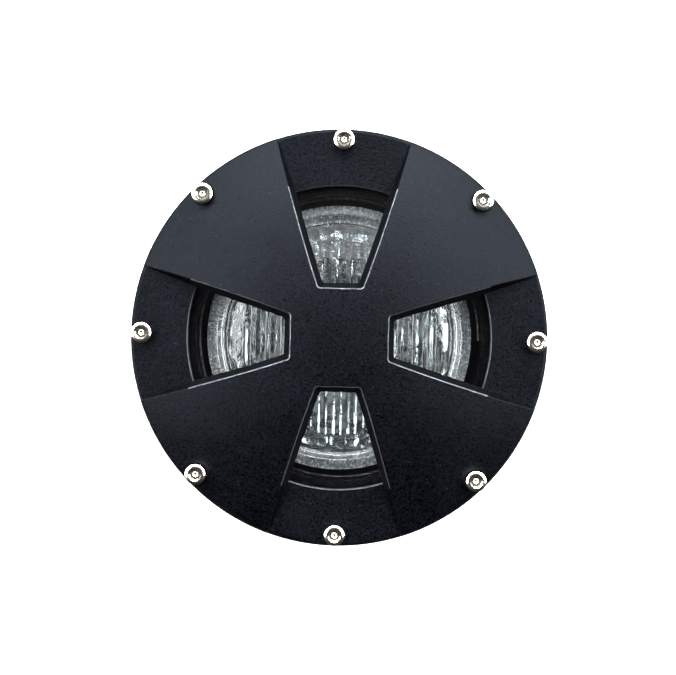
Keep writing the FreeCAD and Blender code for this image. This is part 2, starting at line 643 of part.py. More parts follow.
def make_cover_screws():
    """Eight hexagon-socket screws, four on the flange and four on the arms."""
    body = new_body("cover_screws", f"Size.pivot_height + {COVER_TOP}")
    for place, angle, seat in (("flange", 0, "0"), ("arm", 45, "Size.spot_level")):
        x = f"Size.screw_circle * cos({angle})"
        y = f"Size.screw_circle * sin({angle})"
        head = circles(body, f"{place}_head_outline", "XY_Plane", [
            (x, y, "Size.screw_head")], seat)
        head_pad = pad(body, f"{place}_head", head, "Size.screw_head_high")
        shank = circles(body, f"{place}_shank_outline", "XY_Plane", [
            (x, y, "Size.screw_shank")], seat)
        shank_pad = pad(body, f"{place}_shank", shank, "Size.screw_length", down=True)
        socket = polygon(body, f"{place}_socket_outline", "XY_Plane", x, y,
                         "Size.hex_radius", f"{seat} + Size.screw_head_high")
        cut = pocket(body, f"{place}_socket", socket, "Size.screw_head_high / 2")
        polar(body, f"{place}_screws", [head_pad, shank_pad, cut], COVER_SCREWS // 2)


# ---- lamp ---------------------------------------------------------------------------

def make_lamp_ring():
    """Rubber ring that carries the lamp by its rim on the ledge of the bowl."""
    body = new_body("lamp_ring", "Size.pivot_height")
    profile = outline(body, "section", "XZ_Plane", [
        ("Size.lamp_radius - Size.ring_reach", "Size.lamp_ledge"),
        ("Size.bore_radius - Size.bore_fit", "Size.lamp_ledge"),
        ("Size.bore_radius - Size.bore_fit", LAMP_RING_TOP),
        ("Size.lamp_radius", LAMP_RING_TOP),
        ("Size.lamp_radius", "Size.lamp_level"),
        ("Size.lamp_radius - Size.ring_reach", "Size.lamp_level")])
    revolve(body, "ring", profile)


def make_lamp_clip():
    """Open wire ring sprung into the bore above the rubber ring."""
    body = new_body("lamp_clip", "Size.pivot_height")
    wire = circles(body, "wire", "XZ_Plane", [
        ("Size.bore_radius - Size.clip_radius - Size.bore_fit",
         f"{LAMP_RING_TOP} + Size.clip_radius", "Size.clip_radius")])
    ring = revolve(body, "ring", wire)
    ring.setExpression("Angle", "Size.clip_turn")
    doc.recompute()


def make_lamp_glass():
    """Pressed front glass of the lamp, domed, with stepped rings round the field."""
    body = new_body("lamp_glass", "Size.pivot_height + Size.lamp_level")
    crown = "((Size.lamp_field^2 + Size.lamp_crown^2) / (2 * Size.lamp_crown))"
    band_top = "Size.lamp_rim + Size.lamp_band_rise"
    profile = outline(body, "section", "XZ_Plane", [
        ("0", "Size.lamp_crown", f"-{crown}"),
        ("Size.lamp_field", "0"),
        ("Size.lamp_radius", "0"),
        ("Size.lamp_radius", "Size.lamp_rim - Size.lamp_edge"),
        ("Size.lamp_radius - Size.lamp_edge", "Size.lamp_rim"),
        ("Size.lamp_band_outer + Size.lamp_band_slope", "Size.lamp_rim"),
        ("Size.lamp_band_outer", band_top),
        ("Size.lamp_band", band_top),
        ("Size.lamp_field", "Size.lamp_rim", crown),
        ("0", "Size.lamp_rim + Size.lamp_crown")])
    revolve(body, "glass", profile)


def make_lamp_reflector():
    """Silvered bowl behind the lamp glass."""
    body = new_body("lamp_reflector", "Size.pivot_height")
    rim = "Size.lamp_level"
    profile = outline(body, "section", "XZ_Plane", [
        ("Size.lamp_neck", "Size.lamp_back", "Size.reflector_curve"),
        ("Size.reflector_rim", rim),
        ("Size.reflector_rim - Size.lamp_wall", rim, "-Size.reflector_curve"),
        ("Size.lamp_neck - Size.root", "Size.lamp_back + Size.lamp_floor"),
        ("0", "Size.lamp_back + Size.lamp_floor"),
        ("0", "Size.lamp_back - Size.neck_long"),
        ("Size.lamp_neck", "Size.lamp_back - Size.neck_long")])
    revolve(body, "bowl", profile)


def make_lamp_burner():
    """Halogen capsule on its pinch, standing on the floor of the reflector."""
    body = new_body("lamp_burner", "Size.pivot_height + Size.lamp_back + Size.lamp_floor")
    capsule = outline(body, "capsule", "XZ_Plane", [
        ("0", "0"),
        ("Size.burner_pinch", "0"),
        ("Size.burner_pinch", "Size.burner_pinch_long"),
        ("Size.burner_radius", "Size.burner_shoulder"),
        ("Size.burner_radius", "Size.burner_dome", "Size.burner_radius"),
        ("0", "Size.burner_dome + Size.burner_radius")])
    revolve(body, "bulb", capsule)


def make_lamp_terminals():
    """Two screw terminals at the back of the lamp."""
    body = new_body("lamp_terminals", "Size.pivot_height + Size.lamp_back - Size.neck_long")
    plate = outline(body, "lug_outline", "XY_Plane", [
        ("Size.terminal_near", "-Size.terminal_half"),
        ("Size.terminal_far", "-Size.terminal_half"),
        ("Size.terminal_far", "Size.terminal_half"),
        ("Size.terminal_near", "Size.terminal_half")])
    lug = pad(body, "lug", plate, "Size.terminal_thick", down=True)
    head = circles(body, "screw_outline", "XY_Plane", [
        ("(Size.terminal_near + Size.terminal_far) / 2", "0", "Size.terminal_screw")],
        "-Size.terminal_thick")
    screw = pad(body, "screw", head, "Size.terminal_thick", down=True)
    polar(body, "terminals", [lug, screw], 2)


def make_terminal_block():
    """Two-way ceramic block on the floor of the bowl."""
    body = new_body("terminal_block", "Size.pivot_height + Size.bowl_bottom + Size.bowl_wall")
    foot = outline(body, "block_outline", "XY_Plane", [
        ("-Size.block_half", "Size.block_far"),
        ("Size.block_half", "Size.block_far"),
        ("Size.block_half", "Size.block_near"),
        ("-Size.block_half", "Size.block_near")])
    pad(body, "block", foot, "Size.block_high")
    middle = "(Size.block_near + Size.block_far) / 2"
    wells = circles(body, "well_outline", "XY_Plane", [
        ("-Size.block_pitch", middle, "Size.block_well"),
        ("Size.block_pitch", middle, "Size.block_well")], "Size.block_high")
    pocket(body, "screw_wells", wells, "Size.block_well_deep")


def make_earth_screw():
    """Pan-head screw for the earth wire on the floor of the bowl."""
    body = new_body("earth_screw", "Size.pivot_height + Size.bowl_bottom + Size.bowl_wall")
    head = circles(body, "head_outline", "XY_Plane", [
        ("0", "Size.earth_place", "Size.earth_head")])
    pad(body, "head", head, "Size.earth_high")
    slot = outline(body, "slot_outline", "XY_Plane", [
        ("-Size.earth_head - Size.root", "Size.earth_place - Size.earth_slot"),
        ("Size.earth_head + Size.root", "Size.earth_place - Size.earth_slot"),
        ("Size.earth_head + Size.root", "Size.earth_place + Size.earth_slot"),
        ("-Size.earth_head - Size.root", "Size.earth_place + Size.earth_slot")],
        "Size.earth_high")
    pocket(body, "slot", slot, "Size.earth_slot_deep")


# ---- cable entry --------------------------------------------------------------------

def gland_piece(label, face):
    """A body whose Z axis points out of the cable entry, along the row's -Y."""
    body = new_body(label, "Size.pivot_height + Size.gland_level")
    body.Placement.Rotation = FreeCAD.Rotation(V(1, 0, 0), 90)
    body.setExpression("Placement.Base.y", f"-({face})")
    return body


def make_gland():
    """Cable gland: threaded body, rubber seal and a domed clamping nut."""
    body = gland_piece("gland_body", "Size.gland_boss_face")
    hexagon = polygon(body, "hexagon", "XY_Plane", "0", "0", "Size.gland_hex")
    pad(body, "flats", hexagon, "Size.gland_flats")
    thread = circles(body, "thread_outline", "XY_Plane", [("0", "0", "Size.gland_thread")])
    pad(body, "thread", thread, "Size.gland_thread_long", down=True)
    collar = circles(body, "collar_outline", "XY_Plane", [
        ("0", "0", "Size.gland_thread")], "Size.gland_flats")
    pad(body, "collar", collar, "Size.gland_collar")
    front = "(Size.gland_flats + Size.gland_collar)"
    bore = circles(body, "bore_outline", "XY_Plane", [("0", "0", "Size.gland_bore")], front)
    pocket(body, "bore", bore, f"{front} + Size.gland_thread_long")
    cup = circles(body, "cup_outline", "XY_Plane", [("0", "0", "Size.gland_cup")], front)
    pocket(body, "cup", cup, "Size.gland_cup_deep")

    seal = gland_piece("gland_seal", "Size.gland_boss_face")
    ring = circles(seal, "ring", "XY_Plane", [
        ("0", "0", "Size.seal_radius"), ("0", "0", "Size.cable_radius")],
        f"{front} - Size.gland_cup_deep")
    pad(seal, "seal", ring, "Size.seal_long")

    nut = gland_piece("gland_nut", "Size.gland_boss_face")
    outside = polygon(nut, "nut_outline", "XY_Plane", "0", "0", "Size.gland_hex",
                      "Size.nut_start")
    pad(nut, "nut_flats", outside, "Size.nut_flats")
    shoulder = "(Size.nut_start + Size.nut_flats)"
    crown = outline(nut, "crown", "XZ_Plane", [
        ("0", shoulder),
        ("Size.nut_shoulder", shoulder, "Size.nut_curve"),
        ("Size.nut_crown", f"{shoulder} + Size.nut_dome"),
        ("0", f"{shoulder} + Size.nut_dome")])
    revolve(nut, "dome", crown)
    inside = circles(nut, "inside_outline", "XY_Plane", [
        ("0", "0", "Size.gland_thread + Size.thread_fit")], "Size.nut_start")
    pocket(nut, "inside", inside, "Size.nut_inside", up=True)
    mouth = circles(nut, "mouth_outline", "XY_Plane", [
        ("0", "0", "Size.nut_mouth")], "Size.nut_start")
    pocket(nut, "mouth", mouth, "Size.nut_flats + Size.nut_dome + Size.root", up=True)


# ---- pivots -------------------------------------------------------------------------

def make_pivots():
    """On each side: friction washer, threaded stud and its moulded lock knob."""
    for side, turn in (("left", -90), ("right", 90)):
        washer = new_body(f"pivot_washer_{side}", "Size.pivot_height")
        ring = circles(washer, "ring", "XY_Plane", [
            ("0", "0", "Size.washer_radius"), ("0", "0", "Size.pivot_radius + Size.gap")],
            "Size.boss_face")
        pad(washer, "washer", ring, "Size.washer_thick")

        stud = new_body(f"knob_stud_{side}", "Size.pivot_height")
        rod = circles(stud, "rod", "XY_Plane", [("0", "0", "Size.pivot_radius")],
                      "Size.boss_face - Size.stud_depth")
        pad(stud, "stud", rod,
            f"{YOKE_OUTER} + Size.stud_reach - Size.boss_face + Size.stud_depth")

        knob = new_body(f"lock_knob_{side}", "Size.pivot_height")
        foot = f"{YOKE_OUTER} + Size.gap"
        hub = circles(knob, "hub", "XY_Plane", [("0", "0", "Size.knob_hub")], foot)
        pad(knob, "collar", hub, "Size.knob_collar")
        back = f"{foot} + Size.knob_collar"
        grip = circles(knob, "grip", "XY_Plane", [("0", "0", "Size.knob_disc")], back)
        pad(knob, "grip_disc", grip, "Size.knob_thick - Size.knob_collar")
        lobe = circles(knob, "lobe", "XY_Plane", [
            ("Size.knob_radius - Size.knob_lobe", "0", "Size.knob_lobe")], back)
        lobe_pad = pad(knob, "lobe_pad", lobe, "Size.knob_thick - Size.knob_collar")
        polar(knob, "lobes", [lobe_pad], KNOB_LOBES)
        face = value(f"{foot} + Size.knob_thick")
        round_edges(knob, "face_edge", "Size.knob_edge",
                    lambda e: all(abs(p.z - face) < CLOSE for p in edge_ends(e)))
        socket = circles(knob, "stud_socket", "XY_Plane", [
            ("0", "0", "Size.pivot_radius")], foot)
        pocket(knob, "stud_hole", socket, "Size.stud_reach - Size.gap", up=True)
        for body in (washer, stud, knob):
            body.Placement.Rotation = FreeCAD.Rotation(V(0, 1, 0), turn)


make_base_plate()
make_base_feet()
make_swivel_washer()
make_swivel_screw()
make_yoke()
make_housing()
make_grille_cover()
make_lens_gasket()
make_glass_lens()
make_cover_screws()
make_lamp_ring()
make_lamp_clip()
make_lamp_glass()
make_lamp_reflector()
make_lamp_burner()
make_lamp_terminals()
make_terminal_block()
make_earth_screw()
make_gland()
make_pivots()
doc.recompute()

for item in doc.Objects:
    if {"Invalid", "Error"} & set(item.State):
        raise RuntimeError(f"{item.Label} did not build: {item.State}")
for piece in PIECES:
    shape = piece.Shape
    if shape.isNull() or not shape.isValid() or not shape.Solids:
        raise RuntimeError(f"{piece.Label} is not a valid solid")

os.makedirs("parts", exist_ok=True)
for piece in PIECES:
    piece.Shape.exportStep(f"parts/{piece.Label}.step")
    print(f"{piece.Label}: {len(piece.Shape.Solids)} solids, {piece.Shape.Volume:.0f} mm3")
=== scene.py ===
import math
import random

import bpy
from mathutils import Matrix, Vector


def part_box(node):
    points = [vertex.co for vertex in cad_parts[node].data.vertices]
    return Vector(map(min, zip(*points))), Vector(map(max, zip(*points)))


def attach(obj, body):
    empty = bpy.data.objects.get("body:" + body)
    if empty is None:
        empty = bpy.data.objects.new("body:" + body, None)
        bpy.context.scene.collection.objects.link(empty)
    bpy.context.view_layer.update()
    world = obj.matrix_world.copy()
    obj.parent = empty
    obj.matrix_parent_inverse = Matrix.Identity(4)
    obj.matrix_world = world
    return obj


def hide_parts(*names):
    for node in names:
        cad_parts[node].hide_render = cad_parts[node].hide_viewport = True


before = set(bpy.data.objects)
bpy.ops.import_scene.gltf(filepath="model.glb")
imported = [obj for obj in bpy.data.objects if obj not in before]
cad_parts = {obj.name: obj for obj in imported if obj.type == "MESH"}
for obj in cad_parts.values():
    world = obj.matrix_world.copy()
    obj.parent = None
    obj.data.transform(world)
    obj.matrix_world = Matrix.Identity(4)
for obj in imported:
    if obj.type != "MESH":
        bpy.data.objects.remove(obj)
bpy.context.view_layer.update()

bpy.ops.object.select_all(action="DESELECT")

# Rubber feet
# Four pads of black nitrile rubber, punched from sheet and glued under the base plate.
# They keep the plate off the pond floor.


def surface(name, colour, roughness, metallic=0.0):
    """A material with its shader ready, and the node tree to build its finish in."""
    material = bpy.data.materials.new(name)
    material.use_nodes = True
    tree = material.node_tree
    shader = tree.nodes["Principled BSDF"]
    shader.inputs["Base Color"].default_value = (*colour, 1.0)
    shader.inputs["Roughness"].default_value = roughness
    shader.inputs["Metallic"].default_value = metallic
    return material, tree, shader


def grain_group():
    """Even fine grain with a few bright specks: a colour, a roughness and a height.

    Slow patches add a little to the grain, and the share of cells in Specks gets a dot.
    """
    group = bpy.data.node_groups.new("fine_grain", "ShaderNodeTree")
    for name, kind in (("Grain Scale", "Float"), ("Contrast", "Float"), ("Base", "Color"),
                       ("Speck", "Color"), ("Specks", "Float"), ("Gloss", "Float"),
                       ("Gloss Spread", "Float")):
        group.interface.new_socket(name, in_out="INPUT", socket_type=f"NodeSocket{kind}")
    for name, kind in (("Color", "Color"), ("Roughness", "Float"), ("Height", "Float")):
        group.interface.new_socket(name, in_out="OUTPUT", socket_type=f"NodeSocket{kind}")
    nodes = group.nodes
    link = group.links.new
    given = nodes.new("NodeGroupInput").outputs
    result = nodes.new("NodeGroupOutput").inputs
    place = nodes.new("ShaderNodeTexCoord").outputs["Object"]

    grain = nodes.new("ShaderNodeTexNoise")
    grain.inputs["Detail"].default_value = 3.0
    grain.inputs["Roughness"].default_value = 0.6
    link(place, grain.inputs["Vector"])
    link(given["Grain Scale"], grain.inputs["Scale"])
    patches = nodes.new("ShaderNodeTexNoise")
    patches.inputs["Scale"].default_value = 60.0
    patches.inputs["Detail"].default_value = 2.0
    link(place, patches.inputs["Vector"])
    both = nodes.new("ShaderNodeMath")
    both.operation = "MULTIPLY_ADD"
    both.inputs[1].default_value = 0.2
    link(patches.outputs["Fac"], both.inputs[0])
    link(grain.outputs["Fac"], both.inputs[2])
    spread = nodes.new("ShaderNodeMapRange")
    spread.inputs["From Min"].default_value = 0.53
    spread.inputs["From Max"].default_value = 0.72
    spread.inputs["To Min"].default_value = 0.0
    spread.inputs["To Max"].default_value = 3.0
    link(both.outputs[0], spread.inputs["Value"])
    tint = nodes.new("ShaderNodeMix")
    tint.data_type = "RGBA"
    tint.blend_type = "MULTIPLY"
    link(given["Contrast"], tint.inputs["Factor"])
    link(given["Base"], tint.inputs["A"])
    link(spread.outputs["Result"], tint.inputs["B"])

    cells = nodes.new("ShaderNodeTexVoronoi")
    link(place, cells.inputs["Vector"])
    link(given["Grain Scale"], cells.inputs["Scale"])
    chance = nodes.new("ShaderNodeSeparateColor")
    link(cells.outputs["Color"], chance.inputs["Color"])
    rare = nodes.new("ShaderNodeMath")
    rare.operation = "LESS_THAN"
    link(chance.outputs["Red"], rare.inputs[0])
    link(given["Specks"], rare.inputs[1])
    near = nodes.new("ShaderNodeMath")
    near.operation = "LESS_THAN"
    near.inputs[1].default_value = 0.35
    link(cells.outputs["Distance"], near.inputs[0])
    speck = nodes.new("ShaderNodeMath")
    speck.operation = "MULTIPLY"
    link(rare.outputs[0], speck.inputs[0])
    link(near.outputs[0], speck.inputs[1])
    speckled = nodes.new("ShaderNodeMix")
    speckled.data_type = "RGBA"
    link(speck.outputs[0], speckled.inputs["Factor"])
    link(tint.outputs["Result"], speckled.inputs["A"])
    link(given["Speck"], speckled.inputs["B"])
    link(speckled.outputs["Result"], result["Color"])

    middle = nodes.new("ShaderNodeMath")
    middle.operation = "SUBTRACT"
    middle.inputs[1].default_value = 0.5
    link(grain.outputs["Fac"], middle.inputs[0])
    gloss = nodes.new("ShaderNodeMath")
    gloss.operation = "MULTIPLY_ADD"
    link(middle.outputs[0], gloss.inputs[0])
    link(given["Gloss Spread"], gloss.inputs[1])
    link(given["Gloss"], gloss.inputs[2])
    link(gloss.outputs[0], result["Roughness"])
    link(grain.outputs["Fac"], result["Height"])
    return group


fine_grain = grain_group()


def add_grain(tree, shader, scale, contrast, depth, spread=0.12,
              speck=(1.0, 1.0, 1.0), specks=0.0):
    """Grain of a given size: colour and gloss variation and a bump that deep in metres."""
    grain = tree.nodes.new("ShaderNodeGroup")
    grain.node_tree = fine_grain
    grain.inputs["Grain Scale"].default_value = scale
    grain.inputs["Contrast"].default_value = contrast
    grain.inputs["Base"].default_value = shader.inputs["Base Color"].default_value
    grain.inputs["Speck"].default_value = (*speck, 1.0)
    grain.inputs["Specks"].default_value = specks
    grain.inputs["Gloss"].default_value = shader.inputs["Roughness"].default_value
    grain.inputs["Gloss Spread"].default_value = spread
    bump = tree.nodes.new("ShaderNodeBump")
    bump.inputs["Strength"].default_value = 1.0
    bump.inputs["Distance"].default_value = depth
    tree.links.new(grain.outputs["Color"], shader.inputs["Base Color"])
    tree.links.new(grain.outputs["Roughness"], shader.inputs["Roughness"])
    tree.links.new(grain.outputs["Height"], bump.inputs["Height"])
    tree.links.new(bump.outputs["Normal"], shader.inputs["Normal"])


def paint(node, material):
    """Give a node of the frame its finish."""
    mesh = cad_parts[node].data
    mesh.materials.clear()
    mesh.materials.append(material)


# Black rubber, with its colour and sheen set darker still as painted shade, so that the gap round
# the lamp stays black although the glass lets light in.
rubber, tree, shader = surface("black_rubber", (0.0004, 0.0004, 0.0005), roughness=0.9)
shader.inputs["Specular IOR Level"].default_value = 0.02
add_grain(tree, shader, scale=900.0, contrast=0.5, depth=0.00004)
paint("base_feet", rubber)

# Base plate
# Steel disc turned from plate and powder coated black, with four fixing holes
# and a tapped hole in the middle.


def powder_coat(name):
    """Black powder coat with a fine texture and a few lighter specks."""
    material, tree, shader = surface(name, (0.0006, 0.0007, 0.0011), roughness=0.33)
    shader.inputs["Specular Tint"].default_value = (0.72, 0.82, 1.0, 1.0)
    shader.inputs["Specular IOR Level"].default_value = 0.07
    add_grain(tree, shader, scale=1250.0, contrast=1.0, depth=0.0002, spread=0.45,
              speck=(0.012, 0.013, 0.018), specks=0.008)
    return material, tree, shader


coat, tree, shader = powder_coat("powder_coat")
paint("base_plate", coat)

# Swivel washer and swivel screw
# A natural nylon washer lets the yoke turn, under a stainless button-head screw that
# is driven into the middle of the base plate.
nylon, tree, shader = surface("nylon", (0.55, 0.53, 0.47), roughness=0.55)
add_grain(tree, shader, scale=700.0, contrast=0.25, depth=0.00002)
paint("swivel_washer", nylon)
steel, tree, shader = surface("stainless_steel", (0.66, 0.635, 0.575), roughness=0.36, metallic=1.0)
add_grain(tree, shader, scale=1400.0, contrast=0.25, depth=0.00001)
paint("swivel_screw", steel)

# Yoke
# Flat steel strip, sheared to length and bent into a U. It is powder coated in one
# batch with the base plate, and carries the head between its arms.
paint("yoke", coat)

# Housing
# One deep aluminium casting, powder coated inside and out. Its flange carries the
# bosses that the cover screws run into, with ribs between them.
paint("housing", coat)

# Lamp ring and clip
# A moulded rubber ring holds the lamp by its rim. A ring of blackened spring wire,
# open at its ends, snaps into the housing above it and keeps it down.
paint("lamp_ring", rubber)
black_wire, tree, shader = surface("blackened_wire", (0.03, 0.03, 0.03), roughness=0.4, metallic=1.0)
add_grain(tree, shader, scale=1200.0, contrast=0.4, depth=0.00002)
paint("lamp_clip", black_wire)

# Terminals, terminal block and earth screw
# Plated brass terminals at the back of the lamp, a fired steatite block on the floor
# of the housing, and a plated brass earth screw beside it.
brass, tree, shader = surface("plated_brass", (0.60, 0.50, 0.32), roughness=0.34, metallic=1.0)
add_grain(tree, shader, scale=900.0, contrast=0.3, depth=0.00001)
paint("lamp_terminals", brass)
paint("earth_screw", brass)
ceramic, tree, shader = surface("steatite", (0.74, 0.71, 0.64), roughness=0.6)
add_grain(tree, shader, scale=600.0, contrast=0.3, depth=0.00003)
paint("terminal_block", ceramic)

# Cable gland
# Plated brass body screwed into the side of the housing, with a domed nut that squeezes
# a rubber seal on to the cable.
paint("gland_body", brass)
paint("gland_nut", brass)
paint("gland_seal", rubber)

# Pivots
# On each side a nylon friction washer between yoke and housing, a stainless stud, and
# a moulded black knob that locks the tilt.
plastic, tree, shader = surface("moulded_plastic", (0.003, 0.003, 0.0035), roughness=0.45)
add_grain(tree, shader, scale=1300.0, contrast=0.5, depth=0.00004)
for side in ("left", "right"):
    paint(f"pivot_washer_{side}", nylon)
    paint(f"knob_stud_{side}", steel)
    paint(f"lock_knob_{side}", plastic)

# Lamp bowl
# Pressed glass bowl, a paraboloid whose inside carries a bright aluminium film. Its neck
# holds the burner, and its frosted silver rim slopes outwards under the lamp glass.
MM = 0.001
BOWL_STEPS = 128
RINGS = 28


def spun(name, outline, steps):
    """A closed shell turned round the Z axis from an outline of (radius, height) points."""
    mesh = bpy.data.meshes.new(name)
    points = [(radius, 0.0, height) for radius, height in outline]
    mesh.from_pydata(points, [(i, i + 1) for i in range(len(points) - 1)], [])
    piece = bpy.data.objects.new(name, mesh)
    bpy.context.scene.collection.objects.link(piece)
    bpy.ops.object.select_all(action="DESELECT")
    bpy.context.view_layer.objects.active = piece
    piece.select_set(True)
    bpy.ops.object.mode_set(mode="EDIT")
    bpy.ops.mesh.select_all(action="SELECT")
    bpy.ops.mesh.spin(steps=steps, angle=2 * math.pi, center=(0.0, 0.0, 0.0),
                      axis=(0.0, 0.0, 1.0))
    bpy.ops.mesh.select_all(action="SELECT")
    bpy.ops.mesh.remove_doubles(threshold=0.00001)
    bpy.ops.mesh.normals_make_consistent(inside=False)
    bpy.ops.object.mode_set(mode="OBJECT")
    return piece


def smooth(piece, degrees):
    """Smooth shading with the edges sharper than an angle kept crisp."""
    bpy.ops.object.select_all(action="DESELECT")
    bpy.context.view_layer.objects.active = piece
    piece.select_set(True)
    bpy.ops.object.shade_smooth_by_angle(angle=math.radians(degrees))


def finish(piece, material, body, slot, *nodes):
    """Material, body and the nodes of the frame that the piece stands for; the slot is not used."""
    piece.data.materials.clear()
    piece.data.materials.append(material)
    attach(piece, body)
    if nodes:
        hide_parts(*nodes)


def ripple(tree, shader, scale, depth):
    """Slow waves in a pressed or blown glass surface, as a bump that deep in metres."""
    place = tree.nodes.new("ShaderNodeTexCoord")
    waves = tree.nodes.new("ShaderNodeTexNoise")
    waves.inputs["Scale"].default_value = scale
    waves.inputs["Detail"].default_value = 1.0
    bump = tree.nodes.new("ShaderNodeBump")
    bump.inputs["Distance"].default_value = depth
    tree.links.new(place.outputs["Object"], waves.inputs["Vector"])
    tree.links.new(waves.outputs["Fac"], bump.inputs["Height"])
    tree.links.new(bump.outputs["Normal"], shader.inputs["Normal"])


lamp_glass_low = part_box("lamp_glass")[0].z
lamp_glass_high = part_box("lamp_glass")[1].z
lamp_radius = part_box("lamp_glass")[1].x
bowl_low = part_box("lamp_reflector")[0].z
bowl_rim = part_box("lamp_reflector")[1].x
bowl_wall = 2.2 * MM
bowl_edge = bowl_rim - bowl_wall
neck_radius = 14.5 * MM
neck_length = 8.5 * MM
neck_floor = 2 * MM
bowl_floor = bowl_low + neck_length
seal_low = lamp_glass_low + 0.05 * MM
seal_top = lamp_glass_low + 0.8 * MM
focal = bowl_edge ** 2 / 4 / (seal_top - bowl_floor)
inside = []
for i in range(RINGS + 1):
    r = bowl_edge * (1 - i / RINGS)
    inside.append((r, bowl_floor + r * r / 4 / focal))
neck_top = bowl_floor - neck_floor
outside = []
for i in range(RINGS + 1):
    r = neck_radius + (bowl_rim - neck_radius) * i / RINGS
    share = (r * r - neck_radius ** 2) / (bowl_rim ** 2 - neck_radius ** 2)
    outside.append((r, neck_top + (lamp_glass_low - neck_top) * share))
flange_edge = lamp_radius - 0.2 * MM
flange = [(bowl_rim, seal_low),
          (flange_edge, seal_low),
          (flange_edge, seal_top),
          (53.5 * MM, seal_top + 0.73 * MM),
          (52.9 * MM, seal_top + 0.4 * MM),
          (51.5 * MM, seal_top + 0.3 * MM),
          (51.0 * MM, seal_top)]
neck = [(0.0, bowl_low), (neck_radius, bowl_low)]
bowl = spun("lamp_bowl", inside + neck + outside + flange + [inside[0]], BOWL_STEPS)
smooth(bowl, 30)
silver, tree, shader = surface("aluminised_bowl", (0.90, 0.92, 0.93), roughness=0.10, metallic=1.0)
ripple(tree, shader, scale=85.0, depth=0.0016)
finish(bowl, silver, "head", "silvered", "lamp_reflector")
frosted, tree, shader = surface("frosted_silver", (0.90, 0.92, 0.93), roughness=0.26, metallic=1.0)
add_grain(tree, shader, scale=900.0, contrast=0.15, depth=0.000002)
bowl.data.materials.append(frosted)
for polygon in bowl.data.polygons:
    if polygon.center.z > seal_low and polygon.center.xy.length > bowl_edge + 0.1 * MM:
        polygon.material_index = 1

# Burner
# Halogen capsule: a quartz envelope narrowed at its foot, and one tungsten wire, led up
# two sides and coiled at the focus of the bowl.
FOOT_RADIUS = 3 * MM
FOOT_HIGH = 5 * MM
SHOULDER_HIGH = 9 * MM
CAP_POINTS = 8
burner_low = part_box("lamp_burner")[0].z
burner_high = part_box("lamp_burner")[1].z
capsule_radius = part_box("lamp_burner")[1].x
straight = burner_high - capsule_radius
envelope = [(0.0, burner_low),
            (FOOT_RADIUS, burner_low),
            (FOOT_RADIUS, burner_low + FOOT_HIGH),
            (capsule_radius, burner_low + SHOULDER_HIGH),
            (capsule_radius, straight)]
for i in range(1, CAP_POINTS + 1):
    turn = math.pi / 2 * i / CAP_POINTS
    envelope.append((capsule_radius * math.cos(turn), straight + capsule_radius * math.sin(turn)))
capsule = spun("burner_capsule", envelope, 48)
smooth(capsule, 40)


SHADOW_LEFT = 0.1


def clear_glass(name, tint, roughness, ior):
    """Glass that refracts what is seen through it and casts only a faint shadow."""
    material, tree, shader = surface(name, tint, roughness)
    shader.inputs["Transmission Weight"].default_value = 1.0
    shader.inputs["IOR"].default_value = ior
    rays = tree.nodes.new("ShaderNodeLightPath")
    let_through = tree.nodes.new("ShaderNodeMath")
    let_through.operation = "MULTIPLY_ADD"
    let_through.inputs[1].default_value = SHADOW_LEFT - 1.0
    let_through.inputs[2].default_value = 1.0
    tree.links.new(rays.outputs["Is Shadow Ray"], let_through.inputs[0])
    tree.links.new(let_through.outputs[0], shader.inputs["Alpha"])
    return material, tree, shader


quartz, tree, shader = clear_glass("quartz", (0.95, 0.96, 0.97), roughness=0.0, ior=1.46)
ripple(tree, shader, scale=300.0, depth=0.0001)
finish(capsule, quartz, "head", "quartz", "lamp_burner")
filament_centre = bowl_floor + focal
tungsten, tree, shader = surface("tungsten", (0.35, 0.34, 0.33), roughness=0.45, metallic=1.0)
add_grain(tree, shader, scale=2000.0, contrast=0.4, depth=0.00001)


def wire(name, points, radius):
    """A round wire along a smooth line, as a closed mesh."""
    line = bpy.data.curves.new(name, "CURVE")
    line.dimensions = "3D"
    line.bevel_depth = radius
    line.bevel_resolution = 2
    line.use_fill_caps = True
    spline = line.splines.new("NURBS")
    spline.points.add(len(points) - 1)
    for point, place in zip(spline.points, points):
        point.co = (*place, 1.0)
    spline.order_u = 3
    spline.use_endpoint_u = True
    piece = bpy.data.objects.new(name, line)
    bpy.context.scene.collection.objects.link(piece)
    bpy.ops.object.select_all(action="DESELECT")
    bpy.context.view_layer.objects.active = piece
    piece.select_set(True)
    bpy.ops.object.convert(target="MESH")
    return bpy.context.view_layer.objects.active


COIL_RADIUS = 1.0 * MM
COIL_HALF = 2.6 * MM
COIL_TURNS = 7
TURN_POINTS = 8
WIRE_RADIUS = 0.22 * MM
leg_foot = burner_low + 6 * MM
leg_head = filament_centre - 2 * MM
coil = [(-COIL_HALF, 0.0, leg_foot), (-COIL_HALF, 0.0, leg_head)]
for i in range(COIL_TURNS * TURN_POINTS + 1):
    turn = 2 * math.pi * i / TURN_POINTS
    along = -COIL_HALF + 2 * COIL_HALF * i / (COIL_TURNS * TURN_POINTS)
    coil.append((along, COIL_RADIUS * math.sin(turn),
                 filament_centre - COIL_RADIUS * math.cos(turn)))
coil += [(COIL_HALF, 0.0, leg_head), (COIL_HALF, 0.0, leg_foot)]
filament = wire("burner_filament", coil, WIRE_RADIUS)
finish(filament, tungsten, "head", "stainless")

